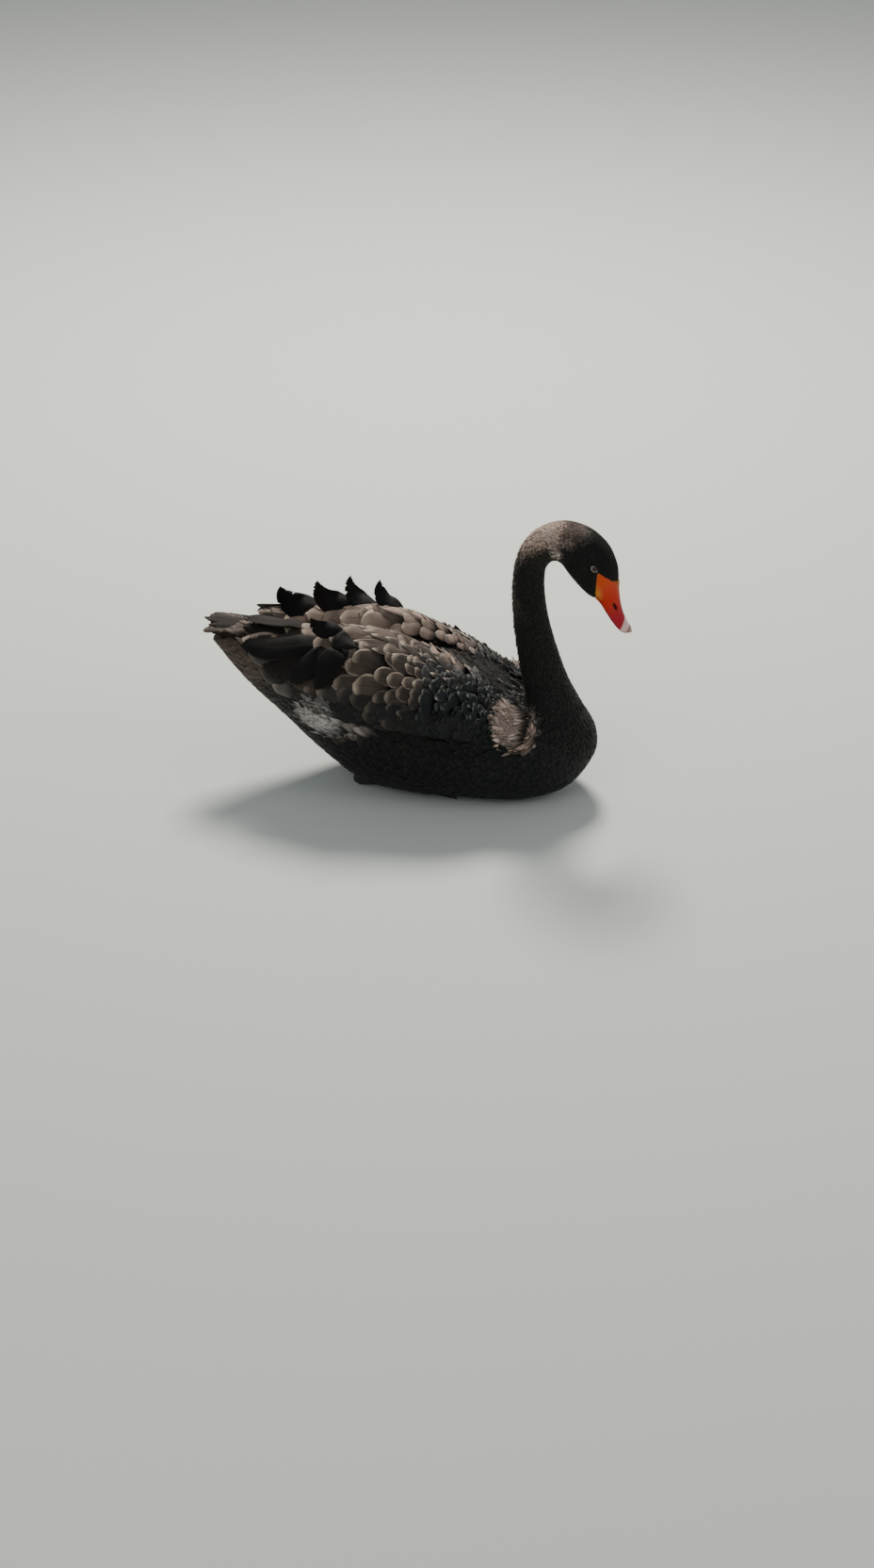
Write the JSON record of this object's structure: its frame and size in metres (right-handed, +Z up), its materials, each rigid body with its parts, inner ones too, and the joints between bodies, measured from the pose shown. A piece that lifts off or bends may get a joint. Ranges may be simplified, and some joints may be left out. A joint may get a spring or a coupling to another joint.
{
  "type": "black swan",
  "caption": "Life-size black swan resting on its belly with feet tucked under, neck raised in an S, red bill pointing down, curled tertials over folded wings.",
  "frame": {"origin": "on the floor under the middle of the body, at the flat of the belly", "axes": "+X towards the breast and bill, +Y to the bird's left, +Z up"},
  "size_m": [0.7195, 0.2784, 0.4891],
  "materials": {
    "plumage": "soft black feathers with a faint green sheen",
    "wing_plumage": "brown-black feathers with pale grey-brown edges",
    "tail_plumage": "brown-black feathers",
    "bill": "smooth horn, orange at the base to crimson, with a pale band",
    "nail": "smooth pale horn, darker at the tip",
    "eye": "wet, dark red iris round a black pupil",
    "foot_skin": "scaled grey-black skin"
  },
  "bodies": {
    "root": {"head": "plumage", "neck_upper": "plumage", "neck_middle": "plumage", "neck_lower": "plumage", "torso": "plumage", "wing_left": "wing_plumage", "wing_right": "wing_plumage", "tail": "tail_plumage", "bill_upper": "bill", "bill_lower": "bill", "bill_nail": "nail", "eye_left": "eye", "eye_right": "eye", "leg_left": "foot_skin", "leg_right": "foot_skin", "foot_left": "foot_skin", "foot_right": "foot_skin"}
  },
  "joints": []
}
